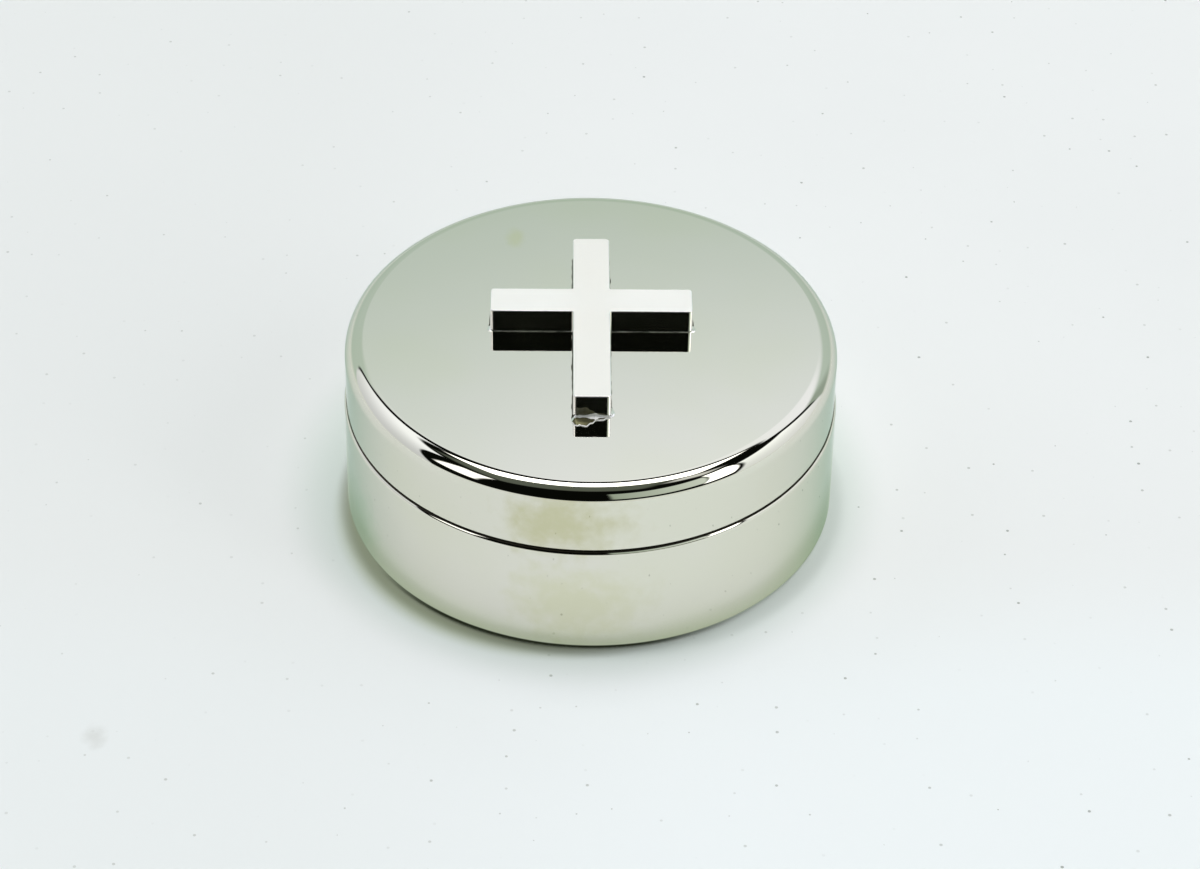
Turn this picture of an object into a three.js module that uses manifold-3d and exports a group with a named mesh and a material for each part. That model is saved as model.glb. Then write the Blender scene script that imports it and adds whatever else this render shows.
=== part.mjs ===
// Round covered box for hosts: a straight-walled base, a slip lid with a rounded edge and a solid cross.
// Millimetres, +Z up. The origin is at the centre of the underside, and the foot of the cross points to -Y.

import * as THREE from "three";
import { mergeVertices } from "three/addons/utils/BufferGeometryUtils.js";
import Module from "manifold-3d";

// Base: an outer band, a floor disc let into it, and an inner band that stands above it as the lid's collar
const BASE_DIAMETER = 60;
const BASE_HEIGHT = 14.65;
const BASE_WALL = 1;
const FLOOR_THICKNESS = 1;
const FOOT_ROUNDING = 0.5;
const BASE_RIM_ROUNDING = 0.6;
const INNER_BAND_WALL = 0.7;
const COLLAR_STAND = 4;
const COLLAR_ROUNDING = 0.3;

// Lid: one drawn cap, a little smaller than the base
const LID_SETBACK = 0.25;
const LID_HEIGHT = 8.7;
const LID_TOP = 1;
const LID_EDGE_RADIUS = 2.3;
const LID_RIM_ROUNDING = 0.2;

// Cross: a Latin cross, whose arms are measured from where the bars cross
const CROSS_BAR = 4.5;
const CROSS_THICKNESS = 3.1;
const CROSS_SIDE_REACH = 12.2;
const CROSS_UPPER_REACH = 12.5;
const CROSS_FOOT_REACH = 18.6;
const CROSS_OFFSET_Y = 2.7;
const CROSS_FACE_CORNER_RADIUS = 0.25;
const CROSS_EDGE_ROUNDING = 0.25;

// Rivets that hold the cross: their axes are set in from the ends of the upper arm and the foot
const RIVET_DIAMETER = 1.5;
const RIVET_FROM_TIP = 6;
const RIVET_HEAD_DIAMETER = 3;
const RIVET_HEAD_HEIGHT = 0.6;
const METAL_OVER_RIVET = 1;

// Clearances
const FLOOR_GAP = 0.05;
const BAND_GAP = 0.1;
const SLIP_GAP = 0.1;
const SEAM_GAP = 0.1;
const RIVET_GAP = 0.1;
const RIVET_END_GAP = 0.2;

// Fineness of the round faces
const ROUND_FACETS = 96;
const RIVET_FACETS = 24;
const EDGE_STEPS = 7;
const ROUNDING_STEPS = 3;

// Sizes that follow from those above
const baseRadius = BASE_DIAMETER / 2;
const baseBore = baseRadius - BASE_WALL;
const collarRadius = baseBore - BAND_GAP;
const collarBore = collarRadius - INNER_BAND_WALL;
const collarTop = BASE_HEIGHT + COLLAR_STAND;
const lidRadius = baseRadius - LID_SETBACK;
const lidBore = collarRadius + SLIP_GAP;
const lidCeiling = LID_HEIGHT - LID_TOP;
const lidInnerEdgeRadius = Math.max(LID_EDGE_RADIUS - LID_TOP, LID_RIM_ROUNDING);
const lidSeat = BASE_HEIGHT + SEAM_GAP;
const rivetRadius = RIVET_DIAMETER / 2;
const rivetHoleRadius = rivetRadius + RIVET_GAP;
const rivetHoleDepth = CROSS_THICKNESS - METAL_OVER_RIVET;
const upperRivetY = CROSS_OFFSET_Y + CROSS_UPPER_REACH - RIVET_FROM_TIP;
const lowerRivetY = CROSS_OFFSET_Y - CROSS_FOOT_REACH + RIVET_FROM_TIP;

const wasm = await Module();
wasm.setup();

// Finishes
function finish(color, roughness) {
  return new THREE.MeshStandardMaterial({ color, roughness, metalness: 1 });
}
const nickel = () => finish(0xc9cdc0, 0.06);
const gilt = () => finish(0xd8b25c, 0.2);
const brightNickel = () => finish(0xe4e4dc, 0.12);

// A point of a turned outline: its distance from the axis and its height
function at(radius, height) {
  return new THREE.Vector2(radius, height);
}

// The points of an elliptical arc about (radius, height), between two angles in degrees
function arc(radius, height, reachOut, reachUp, from, to, steps) {
  const start = THREE.MathUtils.degToRad(from);
  const end = THREE.MathUtils.degToRad(to);
  return new THREE.EllipseCurve(radius, height, reachOut, reachUp, start, end, to < from).getPoints(steps);
}

// A circular rounding of an outline's corner
function rounding(radius, height, size, from, to, steps = ROUNDING_STEPS) {
  return arc(radius, height, size, size, from, to, steps);
}

// Turns an outline about +Z. The outline runs anticlockwise, with the outer side going up.
function turned(outline, facets = ROUND_FACETS) {
  const geometry = new THREE.LatheGeometry(outline, facets);
  geometry.rotateX(Math.PI / 2);
  return geometry;
}

// A closed outline ends where it starts
function ring(outline) {
  return turned([...outline, outline[0].clone()]);
}

// A geometry with its shared vertices merged and no empty triangles, as a manifold solid
function solidOf(geometry) {
  const bare = geometry.clone();
  bare.deleteAttribute("normal");
  bare.deleteAttribute("uv");
  const merged = mergeVertices(bare);
  const index = merged.index.array;
  const triangles = [];
  for (let i = 0; i < index.length; i += 3) {
    const [a, b, c] = index.slice(i, i + 3);
    if (a !== b && b !== c && c !== a) {
      triangles.push(a, b, c);
    }
  }
  return new wasm.Manifold(
    new wasm.Mesh({
      numProp: 3,
      vertProperties: new Float32Array(merged.attributes.position.array),
      triVerts: new Uint32Array(triangles),
    }),
  );
}

// A geometry less the tools that are cut out of it
function cut(geometry, tools) {
  const left = tools.reduce((solid, tool) => solid.subtract(solidOf(tool)), solidOf(geometry));
  const mesh = left.getMesh();
  const result = new THREE.BufferGeometry();
  result.setAttribute("position", new THREE.BufferAttribute(mesh.vertProperties, 3));
  result.setIndex(new THREE.BufferAttribute(mesh.triVerts, 1));
  result.computeVertexNormals();
  return result;
}

// A drill of the rivet hole's size, upright at y and running from one height to another
function rivetDrill(y, from, to) {
  const drill = new THREE.CylinderGeometry(rivetHoleRadius, rivetHoleRadius, to - from, RIVET_FACETS);
  drill.rotateX(Math.PI / 2);
  drill.translate(0, y, (from + to) / 2);
  return drill;
}

function piece(name, geometry, material) {
  const mesh = new THREE.Mesh(geometry, material);
  mesh.name = name;
  return mesh;
}

// Outer band of the base: nearly sharp at the foot, lightly rounded at the rim
function baseWall() {
  const outline = [
    at(baseBore, 0),
    ...rounding(baseRadius - FOOT_ROUNDING, FOOT_ROUNDING, FOOT_ROUNDING, -90, 0),
    ...rounding(baseRadius - BASE_RIM_ROUNDING, BASE_HEIGHT - BASE_RIM_ROUNDING, BASE_RIM_ROUNDING, 0, 90),
    at(baseBore, BASE_HEIGHT),
  ];
  return piece("base_wall", ring(outline), nickel());
}

// Floor disc, let into the outer band and flush with its foot
function baseFloor() {
  const radius = baseBore - FLOOR_GAP;
  const outline = [at(0, 0), at(radius, 0), at(radius, FLOOR_THICKNESS), at(0, FLOOR_THICKNESS)];
  return piece("base_floor", turned(outline), nickel());
}

// Inner band: stands on the floor and rises above the outer band as the collar that the lid slips over
function innerBand() {
  const roundingHeight = collarTop - COLLAR_ROUNDING;
  const outline = [
    at(collarBore, FLOOR_THICKNESS),
    at(collarRadius, FLOOR_THICKNESS),
    ...rounding(collarRadius - COLLAR_ROUNDING, roundingHeight, COLLAR_ROUNDING, 0, 90),
    ...rounding(collarBore + COLLAR_ROUNDING, roundingHeight, COLLAR_ROUNDING, 90, 180),
  ];
  return piece("inner_band", ring(outline), gilt());
}

// Lid shell: its rim is at height 0 of the lid, and two holes take the rivets of the cross
function lidShell() {
  const outline = [
    at(0, lidCeiling),
    ...rounding(
      lidBore - lidInnerEdgeRadius,
      lidCeiling - lidInnerEdgeRadius,
      lidInnerEdgeRadius,
      90,
      0,
    ),
    ...rounding(lidBore + LID_RIM_ROUNDING, LID_RIM_ROUNDING, LID_RIM_ROUNDING, 180, 270),
    ...rounding(lidRadius - LID_RIM_ROUNDING, LID_RIM_ROUNDING, LID_RIM_ROUNDING, -90, 0),
    ...rounding(
      lidRadius - LID_EDGE_RADIUS,
      LID_HEIGHT - LID_EDGE_RADIUS,
      LID_EDGE_RADIUS,
      0,
      90,
      EDGE_STEPS,
    ),
    at(0, LID_HEIGHT),
  ];
  const overshoot = LID_TOP;
  const drills = [upperRivetY, lowerRivetY].map(
    (y) => rivetDrill(y, lidCeiling - overshoot, LID_HEIGHT + overshoot),
  );
  return piece("lid_shell", cut(turned(outline), drills), nickel());
}

// Outline of the cross's flat faces: drawn in by the rounding of the edges, with its outer corners rounded
function crossOutline() {
  const inset = CROSS_EDGE_ROUNDING;
  const half = CROSS_BAR / 2 - inset;
  const side = CROSS_SIDE_REACH - inset;
  const upper = CROSS_UPPER_REACH - inset;
  const foot = CROSS_FOOT_REACH - inset;
  const radius = CROSS_FACE_CORNER_RADIUS;
  const corner = (x, y, centreX, centreY, from) => rounding(
    x - centreX * radius,
    y - centreY * radius,
    radius,
    from,
    from + 90,
  );
  return new THREE.Shape([
    ...corner(half, -foot, 1, -1, -90),
    at(half, -half),
    ...corner(side, -half, 1, -1, -90),
    ...corner(side, half, 1, 1, 0),
    at(half, half),
    ...corner(half, upper, 1, 1, 0),
    ...corner(-half, upper, -1, 1, 90),
    at(-half, half),
    ...corner(-side, half, -1, 1, 90),
    ...corner(-side, -half, -1, -1, 180),
    at(-half, -half),
    ...corner(-half, -foot, -1, -1, 180),
  ]);
}

// Cross: every edge is rounded, and two blind holes in its underside take the rivets
function cross() {
  const geometry = new THREE.ExtrudeGeometry(crossOutline(), {
    depth: CROSS_THICKNESS - 2 * CROSS_EDGE_ROUNDING,
    bevelThickness: CROSS_EDGE_ROUNDING,
    bevelSize: CROSS_EDGE_ROUNDING,
    bevelSegments: ROUNDING_STEPS,
  });
  geometry.translate(0, CROSS_OFFSET_Y, CROSS_EDGE_ROUNDING);
  const overshoot = LID_TOP;
  const drills = [upperRivetY, lowerRivetY].map((y) => rivetDrill(y, -overshoot, rivetHoleDepth));
  return piece("cross", cut(geometry, drills), brightNickel());
}

// Rivet: height 0 is under its peened head's seat, which is the lid's ceiling
function crossRivet(name, y) {
  const shankTop = LID_TOP + rivetHoleDepth - RIVET_END_GAP;
  const outline = [
    ...arc(0, 0, RIVET_HEAD_DIAMETER / 2, RIVET_HEAD_HEIGHT, -90, 0, ROUNDING_STEPS),
    at(rivetRadius, 0),
    at(rivetRadius, shankTop),
    at(0, shankTop),
  ];
  const rivet = piece(name, turned(outline, RIVET_FACETS), brightNickel());
  rivet.position.set(0, y, lidCeiling);
  return rivet;
}

function lid() {
  const group = new THREE.Group();
  const crossPiece = cross();
  crossPiece.position.z = LID_HEIGHT;
  group.add(lidShell(), crossPiece);
  group.add(crossRivet("cross_rivet_upper", upperRivetY));
  group.add(crossRivet("cross_rivet_lower", lowerRivetY));
  group.position.z = lidSeat;
  return group;
}

const box = new THREE.Group();
box.add(baseWall(), baseFloor(), innerBand(), lid());

export default box;
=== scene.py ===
# %% [markdown]
# # A round host box in polished nickel
#
# This file dresses a small round box in Blender: a straight-walled base, a slip lid with a rounded edge,
# and a solid cross on the lid. The box is mirror bright, so most of what the eye sees on it is the room
# around it. The lesson is in two halves: surfaces smooth enough to mirror a room, and a room worth mirroring.
#
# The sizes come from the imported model, so each surface is worked out from the box of its own node.

import bpy
import numpy as np
from mathutils import Matrix, Vector


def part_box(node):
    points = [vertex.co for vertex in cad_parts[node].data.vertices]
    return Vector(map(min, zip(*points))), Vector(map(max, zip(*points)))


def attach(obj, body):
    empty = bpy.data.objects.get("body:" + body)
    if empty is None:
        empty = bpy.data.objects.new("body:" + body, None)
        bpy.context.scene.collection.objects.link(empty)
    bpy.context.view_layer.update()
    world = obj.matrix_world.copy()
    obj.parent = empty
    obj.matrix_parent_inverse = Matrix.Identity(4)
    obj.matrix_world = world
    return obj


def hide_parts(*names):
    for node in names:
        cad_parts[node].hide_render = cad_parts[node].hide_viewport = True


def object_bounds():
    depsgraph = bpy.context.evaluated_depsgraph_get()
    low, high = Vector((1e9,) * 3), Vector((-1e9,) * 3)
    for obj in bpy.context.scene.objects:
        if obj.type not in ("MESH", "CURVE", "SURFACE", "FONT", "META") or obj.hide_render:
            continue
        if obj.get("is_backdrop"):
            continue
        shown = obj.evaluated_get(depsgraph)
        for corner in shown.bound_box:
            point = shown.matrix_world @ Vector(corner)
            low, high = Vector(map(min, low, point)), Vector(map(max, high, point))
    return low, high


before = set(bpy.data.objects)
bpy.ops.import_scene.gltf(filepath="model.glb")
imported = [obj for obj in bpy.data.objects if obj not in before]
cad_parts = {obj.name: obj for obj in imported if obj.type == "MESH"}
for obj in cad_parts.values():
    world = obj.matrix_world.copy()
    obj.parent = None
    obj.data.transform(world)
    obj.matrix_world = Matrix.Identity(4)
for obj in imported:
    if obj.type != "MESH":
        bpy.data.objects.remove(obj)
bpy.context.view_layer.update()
MM = 0.001


# %% [markdown]
# ## The camera
#
# The photograph looks down on the box at about 39 degrees, from the side of the cross's foot, through a
# long lens: the far rim is hardly smaller than the near one. The camera could be placed by eye, but a fit to
# the outlines of lid, seam and base gives its distance, its turn and its small roll. Here it is aimed at a
# point near the box's middle and then rolled about its own line of sight.

# %% Place the camera
LENS_MM = 105
SENSOR_MM = 36
CAMERA_AT = Vector((-4.51, -333.69, 281.77)) * MM
CAMERA_AIM = Vector((1.171, -4.792, 11.715)) * MM
CAMERA_ROLL = np.radians(0.975)

camera_data = bpy.data.cameras.new("camera")
camera_data.lens = LENS_MM
camera_data.sensor_width = SENSOR_MM
camera_data.clip_start = 0.01
camera_data.clip_end = 50
camera = bpy.data.objects.new("camera", camera_data)
bpy.context.scene.collection.objects.link(camera)
bpy.context.scene.camera = camera
line_of_sight = CAMERA_AIM - CAMERA_AT
upright = line_of_sight.to_track_quat("-Z", "Y").to_matrix().to_4x4()
camera.matrix_world = Matrix.Translation(CAMERA_AT) @ upright @ Matrix.Rotation(CAMERA_ROLL, 4, "Z")
print("camera is", round(line_of_sight.length, 3), "m from its aim")


# %% [markdown]
# ## Outlines with rounded corners
#
# Every piece of the box is either turned on a lathe or cut from bar, and both start from an outline whose
# corners are broken by a small radius. The outline could be drawn point by point. Writing only its corners,
# each with a radius, is shorter, and the arcs then give the exact direction of the surface at every point.
# A mirror needs that direction: without it the shading of a flat lid bends near its edge.

# %% A corner list becomes points and directions
ARC_POINTS = 12


def rounded_outline(corners, closed=True, arc_points=ARC_POINTS):
    """Points and outward directions along a polygon whose corners are arcs.

    Each corner is (x, y, radius), anticlockwise. An arc of radius r touches both sides at a distance
    r * tan(half the turn) from the corner, and its centre lies r to the inner side of the bend.
    An open outline keeps its two ends as they are.
    """
    corner = np.array(corners, float)
    spot = corner[:, :2]
    points, directions = [], []
    last = len(corner) - 1
    for i, radius in enumerate(corner[:, 2]):
        before = spot[i] - spot[i - 1]
        after = spot[(i + 1) % len(corner)] - spot[i]
        if not closed and i in (0, last):
            along = after if i == 0 else before
            along = along / np.hypot(*along)
            points.append(spot[i][None])
            directions.append(np.array([[along[1], -along[0]]]))
            continue
        before = before / np.hypot(*before)
        after = after / np.hypot(*after)
        turn = np.arctan2(before[0] * after[1] - before[1] * after[0], before @ after)
        start = np.arctan2(-before[0], before[1])
        angle = start + np.linspace(0, turn, arc_points)
        out = np.stack([np.cos(angle), np.sin(angle)], 1)
        side = np.sign(turn)
        touch = spot[i] - before * radius * abs(np.tan(turn / 2))
        centre = touch - side * radius * out[0]
        points.append(centre + side * radius * out)
        directions.append(out)
    return np.concatenate(points), np.concatenate(directions)


# %% Put vertices, faces and exact directions into a mesh
def mesh_piece(name, vertices, directions, faces, materials, face_material=None):
    """A smooth mesh object in metres, from arrays in millimetres. Each vertex keeps its own direction, if
    directions are given."""
    mesh = bpy.data.meshes.new(name)
    mesh.from_pydata(np.asarray(vertices) * MM, [], faces)
    mesh.shade_smooth()
    if directions is not None:
        mesh.normals_split_custom_set_from_vertices(np.asarray(directions))
    for material in materials:
        mesh.materials.append(material)
    if face_material is not None:
        mesh.polygons.foreach_set("material_index", np.asarray(face_material, np.int32))
    mesh.update()
    made = bpy.data.objects.new(name, mesh)
    bpy.context.scene.collection.objects.link(made)
    print(f"{name}: {len(mesh.vertices)} vertices, {len(mesh.polygons)} faces")
    return made


# %% [markdown]
# ## Turned pieces
#
# The base, the band inside it, the floor and the lid are all round, so each is an outline turned about the
# box's axis. Blender's Screw modifier could turn a curve, but it smooths across the outline's corners.
# Turning the arrays directly keeps the exact directions, and a ring of 384 steps keeps the rim round even
# where it mirrors a straight edge of light.

# %% Turn an outline about the axis
RING_STEPS = 384


def turned_mesh(outline, closed=True, steps=RING_STEPS):
    """Vertices, directions, faces and each face's place along the outline, turned about Z.

    A point (r, z) goes round as (r cos a, r sin a, z), and its direction turns with it. Where the outline
    starts or ends on the axis it is one vertex, and the faces there are triangles.
    """
    angle = np.linspace(0, 2 * np.pi, steps, endpoint=False)
    around = np.stack([np.cos(angle), np.sin(angle)], 1)
    points, out = outline
    on_axis = points[:, :1] == 0
    step = np.arange(steps)
    kept = ~on_axis | (step == 0)
    ring_size = kept.sum(1)
    index = (np.cumsum(ring_size) - ring_size)[:, None] + np.where(on_axis, 0, step)

    def turned(pairs):
        """Each (r, z) pair carried round the ring."""
        flat = pairs[:, None, :1] * around
        up = np.broadcast_to(pairs[:, None, 1:], (*flat.shape[:2], 1))
        return np.concatenate([flat, up], 2)[kept]

    low = index if closed else index[:-1]
    high = np.roll(index, -1, 0) if closed else index[1:]
    quads = np.stack([low, np.roll(low, -1, 1), np.roll(high, -1, 1), high], -1).reshape(-1, 4)
    faces = [list(dict.fromkeys(quad)) for quad in quads.tolist()]
    strips = np.repeat(np.arange(len(low)), steps)
    return turned(points), turned(out), faces, strips


# %% [markdown]
# ## Effects that the finishes share
#
# Polished plate is never perfect. It has hairlines from wiping, soft smudges where it was handled, and a
# tint that drifts a little over the surface. These could be painted maps. As node groups on Object
# coordinates they need no picture, keep their real size, and can be given to each finish in its own dose.

# %% Helpers that wire nodes
def feed(tree, socket, value):
    """Link a socket, or set a plain value or a colour."""
    if isinstance(value, bpy.types.NodeSocket):
        tree.links.new(value, socket)
    elif socket.type == "RGBA":
        socket.default_value = (*value, 1)
    else:
        socket.default_value = value


def node(tree, kind, inputs=None, **settings):
    """A new node in a tree, with settings and inputs by name or number."""
    made = tree.nodes.new(kind)
    for key, value in settings.items():
        setattr(made, key, value)
    for key, value in (inputs or {}).items():
        feed(tree, made.inputs[key], value)
    return made


def math_node(tree, operation, *values, clamp=False):
    """The result of a Math node."""
    made = node(tree, "ShaderNodeMath", dict(enumerate(values)), operation=operation, use_clamp=clamp)
    return made.outputs[0]


def smooth_range(tree, value, low, high, to_low=0.0, to_high=1.0):
    """A smooth step from to_low to to_high as value goes from low to high."""
    inputs = {"Value": value, "From Min": low, "From Max": high, "To Min": to_low, "To Max": to_high}
    made = node(tree, "ShaderNodeMapRange", inputs, interpolation_type="SMOOTHSTEP")
    return made.outputs[0]


def blend_colour(tree, factor, first, second):
    """first where factor is 0 and second where it is 1."""
    made = node(tree, "ShaderNodeMix", {0: factor, 6: first, 7: second}, data_type="RGBA")
    return made.outputs[2]


def new_group(name, inputs, outputs):
    """An empty node group with named sockets: its tree, its input node and its output node."""
    tree = bpy.data.node_groups.new(name, "ShaderNodeTree")
    for socket_name, default in inputs.items():
        kind = "NodeSocketVector" if isinstance(default, tuple) else "NodeSocketFloat"
        made = tree.interface.new_socket(socket_name, in_out="INPUT", socket_type=kind)
        made.default_value = default
    for socket_name in outputs:
        tree.interface.new_socket(socket_name, in_out="OUTPUT", socket_type="NodeSocketFloat")
    return tree, tree.nodes.new("NodeGroupInput"), tree.nodes.new("NodeGroupOutput")


# %% Handling marks: a drifting tint, smudges and hairlines
def handling_marks_group():
    """Clouds of noise in metres. Tint drifts over centimetres, Smudge over fingertips, and Hairline is
    noise squeezed to thin streaks."""
    sizes = {"Tint Scale": 45.0, "Smudge Scale": 180.0, "Hairline Scale": 900.0}
    tree, given, result = new_group("handling marks", sizes, ["Tint", "Smudge", "Hairline"])
    place = node(tree, "ShaderNodeTexCoord").outputs["Object"]
    drift = node(tree, "ShaderNodeTexNoise",
                 {"Vector": place, "Scale": given.outputs["Tint Scale"], "Detail": 2.0})
    tint = smooth_range(tree, drift.outputs[0], 0.38, 0.68)
    prints = node(tree, "ShaderNodeTexNoise",
                  {"Vector": place, "Scale": given.outputs["Smudge Scale"], "Detail": 5.0, "Distortion": 0.6})
    smudge = smooth_range(tree, prints.outputs[0], 0.5, 0.72)
    squeezed = node(tree, "ShaderNodeMapping",
                    {"Vector": place, "Rotation": (0.2, 0.1, 0.6), "Scale": (1.0, 0.05, 1.0)})
    streaks = node(tree, "ShaderNodeTexNoise",
                   {"Vector": squeezed.outputs[0], "Scale": given.outputs["Hairline Scale"], "Detail": 3.0})
    hairline = smooth_range(tree, streaks.outputs[0], 0.6, 0.75)
    for key, value in (("Tint", tint), ("Smudge", smudge), ("Hairline", hairline)):
        feed(tree, result.inputs[key], value)
    return tree


HANDLING_MARKS = handling_marks_group()


# %% A patch that sits in one place, for a stain and for painted shade
STAIN_FADES_FROM = 0.55
STAIN_GONE_AT = 1.35


def stain_group():
    """1 near Centre, fading to 0 further out. Distance is counted in units of Reach, and a fine noise adds up
    to Ragged to it, which breaks up the edge."""
    given_values = {"Centre": (0.0, 0.0, 0.0), "Reach": (0.005, 0.005, 0.005), "Grain": 500.0, "Ragged": 0.9}
    tree, given, result = new_group("stain", given_values, ["Stain"])
    place = node(tree, "ShaderNodeTexCoord").outputs["Object"]
    offset = node(tree, "ShaderNodeVectorMath", {0: place, 1: given.outputs["Centre"]}, operation="SUBTRACT")
    scaled = node(tree, "ShaderNodeVectorMath", {0: offset.outputs[0], 1: given.outputs["Reach"]},
                  operation="DIVIDE")
    distance = node(tree, "ShaderNodeVectorMath", {0: scaled.outputs[0]}, operation="LENGTH").outputs["Value"]
    cloud = node(tree, "ShaderNodeTexNoise",
                 {"Vector": place, "Scale": given.outputs["Grain"], "Detail": 4.0})
    ragged = math_node(tree, "MULTIPLY_ADD", cloud.outputs[0], given.outputs["Ragged"], distance)
    stain = smooth_range(tree, ragged, STAIN_FADES_FROM, STAIN_GONE_AT, 1.0, 0.0)
    feed(tree, result.inputs["Stain"], stain)
    return tree


STAIN = stain_group()
CLOUDY = 0.9


def patch_at(tree, centre, reach, ragged=CLOUDY):
    """The mask of a patch, for a stain and for painted shade, whose centre and reach are in millimetres."""
    spot = node(tree, "ShaderNodeGroup", node_tree=STAIN)
    spot.inputs["Ragged"].default_value = ragged
    spot.inputs["Centre"].default_value = Vector(centre) * MM
    spot.inputs["Reach"].default_value = Vector(reach) * MM
    return spot.outputs["Stain"]


# %% [markdown]
# ## The finishes
#
# Nickel plate is a warm grey mirror, a shade yellower than chrome, and greenish where it is seen at a
# glancing angle. The gilding inside is softer, as it is never buffed hard. The top of the cross is partly
# frosted: it scatters the light and looks white, while its flat sides mirror the room like the lid. Solder is
# bright where it ran smooth and dull where it is grainy. Each could have its own recipe. One recipe on
# Blender's Principled shader serves them all, and they differ in colour, in roughness, in how much light
# they scatter evenly, and in how much of each mark they carry.
#
# Four patches tint the nickel, three on the wall and one behind the cross. The three on the wall are painted
# shade where the wall mirrors the shaded table: darker and warmer in front, darker and greener at the left.
# The one behind the cross is a stain. The foot line is painted shade too: a hair's breadth of dark at the
# bottom of the wall's front, where the plate meets the table. The arms of the cross are a little whiter in
# colour than its stem, and two pale patches give them that.

# %% One recipe for every plated metal
SLOW_WAVE = 90.0
GRAINY_WAVE = 1600.0


def plated_metal(name, colour, tint, roughness, smudge, hairline, wave=0.0, wave_scale=SLOW_WAVE, colour_patches=(),
                 edge=(1.0, 1.0, 1.0), metallic=1.0):
    """A metal whose colour drifts towards tint, whose roughness rises with smudges and hairlines, and
    whose surface may wave a little, as hand-polished metal does. wave is its height in millimetres. edge
    is how much of each colour it keeps where it is seen at a glancing angle. With metallic below 1 some of
    the light is scattered evenly, as a frosted face does."""
    material = bpy.data.materials.new(name)
    material.use_nodes = True
    tree = material.node_tree
    shader = tree.nodes["Principled BSDF"]
    shader.inputs["Metallic"].default_value = metallic
    shader.inputs["Specular Tint"].default_value = (*edge, 1)
    marks = node(tree, "ShaderNodeGroup", node_tree=HANDLING_MARKS)
    shade = blend_colour(tree, marks.outputs["Tint"], colour, tint)
    for centre, reach, ragged, patch_colour in colour_patches:
        shade = blend_colour(tree, patch_at(tree, centre, reach, ragged), shade, patch_colour)
    feed(tree, shader.inputs["Base Color"], shade)
    from_smudge = math_node(tree, "MULTIPLY_ADD", marks.outputs["Smudge"], smudge, roughness)
    rough = math_node(tree, "MULTIPLY_ADD", marks.outputs["Hairline"], hairline, from_smudge)
    feed(tree, shader.inputs["Roughness"], rough)
    if wave:
        place = node(tree, "ShaderNodeTexCoord").outputs["Object"]
        swell = node(tree, "ShaderNodeTexNoise", {"Vector": place, "Scale": wave_scale, "Detail": 1.0})
        bump = node(tree, "ShaderNodeBump",
                    {"Height": swell.outputs[0], "Strength": 1.0, "Distance": wave * MM})
        feed(tree, shader.inputs["Normal"], bump.outputs[0])
    return material


# %% Stains and painted shade: centre and reach in millimetres, raggedness, colour
# The first three darken the wall as painted shade, where it mirrors the shaded table. The fourth is a stain
# behind the cross.
PLATE_STAINS_AND_SHADE = [
    ((-5.0, -29.6, 18.5), (14.0, 3.0, 7.0), CLOUDY, (0.63, 0.615, 0.42)),
    ((-3.0, -30.0, 6.5), (16.0, 3.0, 9.0), CLOUDY, (0.72, 0.715, 0.55)),
    ((-27.5, -12.0, 5.0), (4.0, 9.0, 7.0), CLOUDY, (0.70, 0.735, 0.63)),
    ((-9.3, 19.6, 23.4), (1.8, 3.4, 1.0), CLOUDY, (0.76, 0.75, 0.58)),
]
# Painted shade: a thin dark line low on the front of the wall, where it meets the table.
FOOT_SHADE_LINE = [((-8.0, -31.0, 0.0), (24.0, 16.0, 0.2), 0.1, (0.04, 0.04, 0.03))]
BRIGHT_ARMS = [
    ((-8.5, 2.7, 26.5), (8.0, 5.0, 3.0), 0.2, (1.0, 0.985, 0.96)),
    ((8.5, 2.7, 26.5), (8.0, 5.0, 3.0), 0.2, (1.0, 0.985, 0.96)),
]

# %% The finishes: colour and the tint it drifts to, roughness, then what smudges and hairlines add to it
NICKEL_EDGE = (0.60, 0.71, 0.65)

nickel = plated_metal("polished nickel", (0.79, 0.775, 0.70), (0.775, 0.77, 0.665), 0.022, 0.02, 0.02,
                      wave=0.004, colour_patches=PLATE_STAINS_AND_SHADE + FOOT_SHADE_LINE, edge=NICKEL_EDGE)
gilding = plated_metal("soft gilding", (0.90, 0.66, 0.27), (0.84, 0.58, 0.22), 0.20, 0.08, 0.06)
# Near black: partly the bare sheet's own dull edge, partly painted shade in the seam and along the sides of
# the solder line.
bare_edge_and_shade = plated_metal("bare edge and painted shade", (0.07, 0.06, 0.045), (0.04, 0.036, 0.028), 0.45, 0.1, 0.1)
cross_satin = plated_metal("satin face of the cross", (0.965, 0.945, 0.91), (0.95, 0.93, 0.885),
                           0.45, 0.05, 0.05, colour_patches=BRIGHT_ARMS, metallic=0.65)
cross_edge = plated_metal("softened edge of the cross", (0.96, 0.94, 0.93), (0.93, 0.92, 0.90),
                          0.16, 0.05, 0.05)
cross_bright = plated_metal("polished side of the cross", (0.82, 0.82, 0.77), (0.80, 0.80, 0.73),
                            0.07, 0.03, 0.02, wave=0.01)
solder = plated_metal("run-out solder", (0.94, 0.94, 0.92), (0.80, 0.80, 0.75), 0.09, 0.05, 0.05, wave=0.006,
                      wave_scale=GRAINY_WAVE)
frosted_solder = plated_metal("frosted solder", (0.96, 0.96, 0.95), (0.84, 0.84, 0.81), 0.5, 0.1, 0.1,
                              metallic=0.0)
dull_film = plated_metal("dull film of solder", (0.13, 0.125, 0.07), (0.07, 0.065, 0.03), 0.25, 0.6, 0.1)
peened = plated_metal("peened rivet", (0.78, 0.76, 0.68), (0.66, 0.64, 0.55), 0.32, 0.1, 0.1, wave=0.15)


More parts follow.
